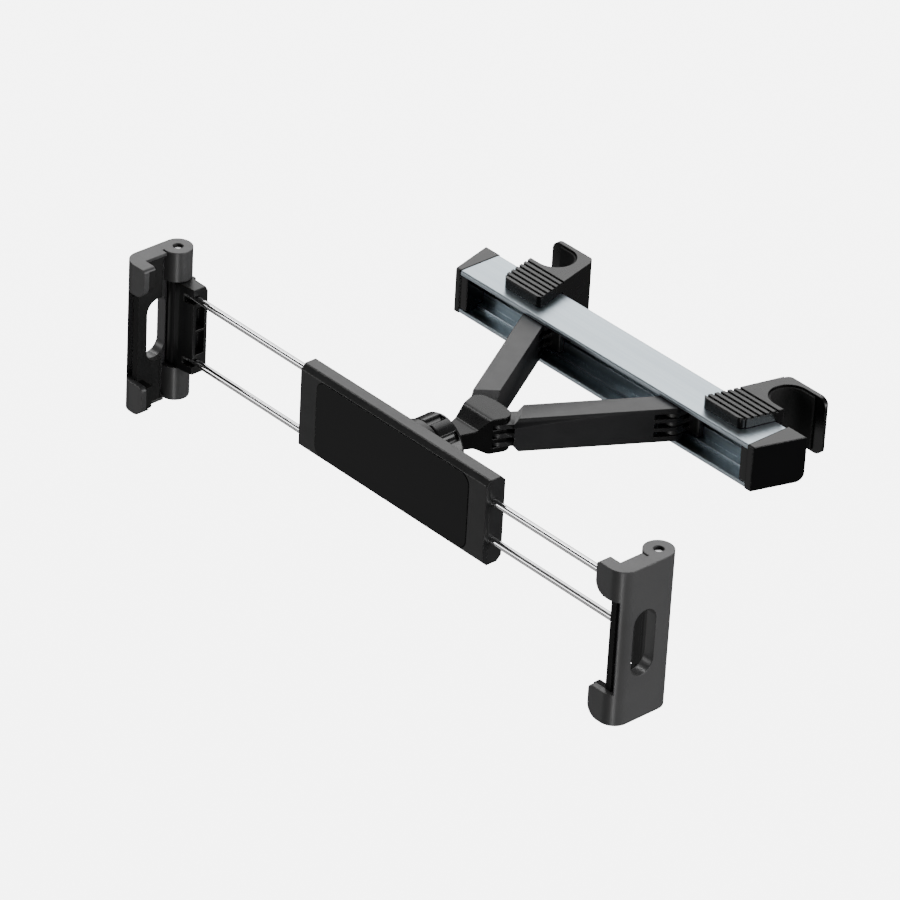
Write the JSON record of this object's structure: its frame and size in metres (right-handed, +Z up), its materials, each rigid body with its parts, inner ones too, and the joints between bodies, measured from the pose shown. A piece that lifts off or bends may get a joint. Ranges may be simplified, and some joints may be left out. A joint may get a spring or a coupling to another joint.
{
  "type": "headrest tablet mount",
  "caption": "Rail with hooked clamps for head-restraint posts, folding arms in its channel and a ball joint that carries a spring-loaded tablet holder with hinged jaws.",
  "frame": {"origin": "on the left post clamp's axis, at the rail's mid height", "axes": "+X along the rail to the right, -Y towards the tablet, +Z up along the posts"},
  "size_m": [0.2696, 0.159, 0.0628],
  "materials": {
    "rail_aluminium": "blue-grey anodised, satin, drawn along its length",
    "gloss_black": "smooth glossy black moulding",
    "grip_black": "satin black moulding with a grooved grip",
    "satin_black": "satin black moulding",
    "arm_black": "satin black glass-filled moulding",
    "jaw_grey": "satin graphite moulding",
    "rubber_black": "matt black rubber",
    "ball_black": "satin black",
    "nylon": "natural nylon",
    "pin_steel": "bright drawn steel",
    "rod_chrome": "mirror chrome"
  },
  "bodies": {
    "rail": {"rail": "rail_aluminium", "end_cap_left": "gloss_black", "end_cap_right": "gloss_black"},
    "clamp_left": {"clamp_left": "grip_black", "clamp_liner_left": "rubber_black", "clamp_shoe_left": "satin_black"},
    "clamp_right": {"clamp_right": "grip_black", "clamp_liner_right": "rubber_black", "clamp_shoe_right": "satin_black"},
    "carriage_right": {"carriage_right": "satin_black"},
    "arm_right": {"arm_right": "arm_black", "rail_pin_right": "pin_steel"},
    "hub": {"hub": "arm_black", "hub_pin_left": "pin_steel", "hub_pin_right": "pin_steel"},
    "arm_left": {"arm_left": "arm_black", "rail_pin_left": "pin_steel"},
    "carriage_left": {"carriage_left": "satin_black"},
    "ball": {"ball": "ball_black"},
    "ball_seat": {"ball_seat": "nylon"},
    "holder": {"socket": "satin_black", "socket_screws": "pin_steel", "body_shell": "satin_black", "body_cover": "satin_black", "front_pad": "gloss_black", "spring_left": "pin_steel", "spring_right": "pin_steel"},
    "ring_nut": {"ring_nut": "satin_black"},
    "slide_left": {"slider_left": "pin_steel", "rod_left_upper": "rod_chrome", "rod_left_lower": "rod_chrome", "rod_block_left": "satin_black"},
    "slide_right": {"slider_right": "pin_steel", "rod_right_upper": "rod_chrome", "rod_right_lower": "rod_chrome", "rod_block_right": "satin_black"},
    "jaw_left": {"jaw_left": "jaw_grey", "jaw_pin_left": "pin_steel", "jaw_pad_left": "rubber_black"},
    "jaw_right": {"jaw_right": "jaw_grey", "jaw_pin_right": "pin_steel", "jaw_pad_right": "rubber_black"}
  },
  "joints": [
    {"name": "clamp_left_slide", "type": "slide", "parent": "rail", "child": "clamp_left", "axis": [1, 0, 0], "range_m": [-0.014, 0.032]},
    {"name": "clamp_right_slide", "type": "slide", "parent": "rail", "child": "clamp_right", "axis": [1, 0, 0], "range_m": [-0.04, 0.0045]},
    {"name": "carriage_right_slide", "type": "slide", "parent": "rail", "child": "carriage_right", "axis": [1, 0, 0], "range_m": [-0.022, 0.0256]},
    {"name": "fold", "type": "hinge", "parent": "carriage_right", "child": "arm_right", "pos_m": [0.0955, -0.029, 0], "axis": [0, 0, 1], "range_deg": [-28, 24]},
    {"name": "hub_turn", "type": "hinge", "parent": "arm_right", "child": "hub", "pos_m": [0.0635, -0.08449, 0], "axis": [0, 0, 1], "range_deg": [-24.5, 28.5]},
    {"name": "arm_left_turn", "type": "hinge", "parent": "hub", "child": "arm_left", "pos_m": [0.0527, -0.08449, 0], "axis": [0, 0, 1], "range_deg": [-24.5, 28.5]},
    {"name": "carriage_left_turn", "type": "hinge", "parent": "arm_left", "child": "carriage_left", "pos_m": [0.0207, -0.029, 0], "axis": [0, 0, 1], "range_deg": [-28.5, 24.5]},
    {"name": "ball_pan", "type": "hinge", "parent": "hub", "child": "ball", "pos_m": [0.0581, -0.11299, 0], "axis": [0, 0, 1], "range_deg": [-20, 20]},
    {"name": "ball_tilt", "type": "hinge", "parent": "ball", "child": "ball_seat", "pos_m": [0.0581, -0.11299, 0], "axis": [1, 0, 0], "range_deg": [-20, 20]},
    {"name": "holder_spin", "type": "hinge", "parent": "ball_seat", "child": "holder", "pos_m": [0.0581, -0.11299, 0], "axis": [0, 1, 0], "continuous": true},
    {"name": "ring_nut_turn", "type": "hinge", "parent": "holder", "child": "ring_nut", "pos_m": [0.0581, -0.11299, 0], "axis": [0, 1, 0], "range_deg": [0, 60]},
    {"name": "jaw_left_slide", "type": "slide", "parent": "holder", "child": "slide_left", "axis": [1, 0, 0], "range_m": [-0.022, 0.0595], "stiffness_N_per_m": 60, "springref_m": 0.09, "deforming": ["spring_left"]},
    {"name": "jaw_right_slide", "type": "slide", "parent": "holder", "child": "slide_right", "axis": [1, 0, 0], "range_m": [-0.0665, 0.015], "stiffness_N_per_m": 60, "springref_m": -0.09, "deforming": ["spring_right"]},
    {"name": "jaw_left_turn", "type": "hinge", "parent": "slide_left", "child": "jaw_left", "pos_m": [-0.0676, -0.12719, 0], "axis": [0, 0, 1], "range_deg": [-85, 0]},
    {"name": "jaw_right_turn", "type": "hinge", "parent": "slide_right", "child": "jaw_right", "pos_m": [0.1906, -0.12719, 0], "axis": [0, 0, 1], "range_deg": [0, 85]}
  ],
  "couplings": [
    {"joint": "carriage_right_slide", "follows": "fold", "m_per_rad": -0.052},
    {"joint": "hub_turn", "follows": "fold", "ratio": -1},
    {"joint": "arm_left_turn", "follows": "fold", "ratio": -1},
    {"joint": "carriage_left_turn", "follows": "fold", "ratio": 1}
  ]
}
